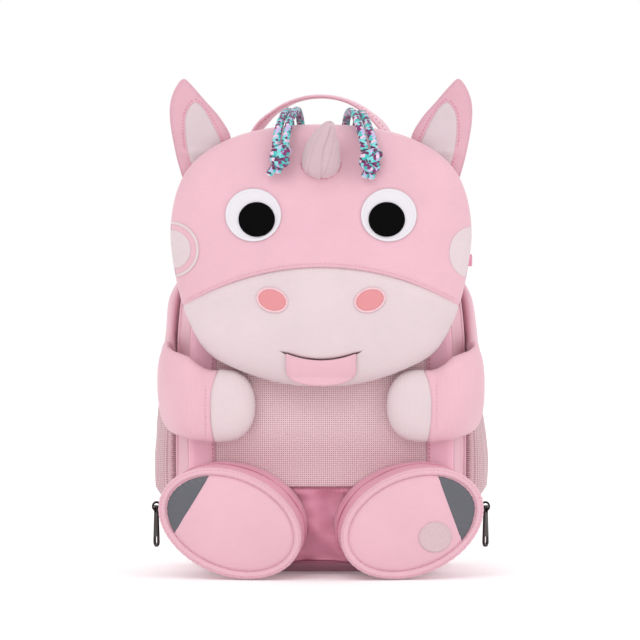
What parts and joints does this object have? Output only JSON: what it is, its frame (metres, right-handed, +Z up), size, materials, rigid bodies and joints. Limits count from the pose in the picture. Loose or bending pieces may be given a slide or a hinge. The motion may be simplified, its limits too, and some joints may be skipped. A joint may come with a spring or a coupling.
{
  "type": "child's animal backpack",
  "caption": "Child's backpack shaped like a sitting unicorn, with a padded face, ears and horn, arms, zipped feet, net pockets, a top handle and shoulder straps.",
  "frame": {"origin": "on the ground, below the middle of the backpack without its hair cords", "axes": "+Z up, the face looks along -Y, +X to the right as the viewer sees the face"},
  "size_m": [0.2332, 0.196, 0.343],
  "materials": {
    "pink_satin": "satin-woven polyester, soft sheen",
    "rose_satin": "satin-woven polyester",
    "pale_satin": "satin-woven polyester, soft sheen",
    "zip_tape": "woven tape with a nylon coil",
    "air_mesh": "knitted air mesh with round holes",
    "white_embroidery": "satin stitch",
    "black_embroidery": "satin stitch",
    "coral_embroidery": "satin stitch",
    "reflective_tape": "glass-bead reflective cloth",
    "plain_patch": "soft moulded patch, plain",
    "zip_metal": "gunmetal",
    "grey_webbing": "ribbed webbing",
    "pink_webbing": "ribbed webbing",
    "buckle_plastic": "moulded acetal",
    "braided_cord": "braid of teal, purple, lavender and white yarns"
  },
  "bodies": {
    "bag": {"rear_gusset": "pink_satin", "back_panel": "pink_satin", "front_panel": "pink_satin", "face_upper": "pink_satin", "ear_L": "pink_satin", "ear_R": "pink_satin", "arm_L": "pink_satin", "arm_R": "pink_satin", "foot_lid_L": "pink_satin", "foot_lid_R": "pink_satin", "foot_piping_L": "pink_satin", "foot_piping_R": "pink_satin", "handle": "pink_satin", "shoulder_strap_L": "pink_satin", "shoulder_strap_R": "pink_satin", "front_gusset": "rose_satin", "base_band": "rose_satin", "foot_gusset_L": "rose_satin", "foot_gusset_R": "rose_satin", "tongue": "rose_satin", "muzzle": "pale_satin", "hand_L": "pale_satin", "hand_R": "pale_satin", "horn": "pale_satin", "ear_panel_L": "pale_satin", "ear_panel_R": "pale_satin", "cheek_spot_L": "pale_satin", "cheek_ring_L": "pale_satin", "cheek_spot_R": "pale_satin", "main_zip": "zip_tape", "front_net": "air_mesh", "side_net_L": "air_mesh", "side_net_R": "air_mesh", "eye_white_L": "white_embroidery", "eye_white_R": "white_embroidery", "pupil_L": "black_embroidery", "pupil_R": "black_embroidery", "nostril_L": "coral_embroidery", "nostril_R": "coral_embroidery", "foot_reflector_L": "reflective_tape", "foot_reflector_R": "reflective_tape", "foot_badge": "plain_patch", "foot_slider_L": "zip_metal", "foot_slider_R": "zip_metal", "hair_slider_L": "zip_metal", "hair_slider_R": "zip_metal", "handle_end_L": "grey_webbing", "handle_end_R": "grey_webbing", "strap_webbing_L": "pink_webbing", "strap_webbing_R": "pink_webbing", "strap_buckle_L": "buckle_plastic", "strap_buckle_R": "buckle_plastic", "hair_cord_L_outer": "braided_cord", "hair_cord_L_inner": "braided_cord", "hair_cord_R_outer": "braided_cord", "hair_cord_R_inner": "braided_cord", "hair_knot_L": "braided_cord", "hair_knot_R": "braided_cord"},
    "foot_pull_L": {"foot_pull_L": "zip_metal"},
    "foot_pull_R": {"foot_pull_R": "zip_metal"}
  },
  "joints": [
    {"name": "foot_pull_L_swing", "type": "hinge", "parent": "bag", "child": "foot_pull_L", "pos_m": [-0.11318, -0.06595, 0.049], "axis": [-0.4794, 0.8776, 0], "range_deg": [0, 150]},
    {"name": "foot_pull_R_swing", "type": "hinge", "parent": "bag", "child": "foot_pull_R", "pos_m": [0.11318, -0.06595, 0.049], "axis": [-0.4794, -0.8776, 0], "range_deg": [0, 150]}
  ]
}
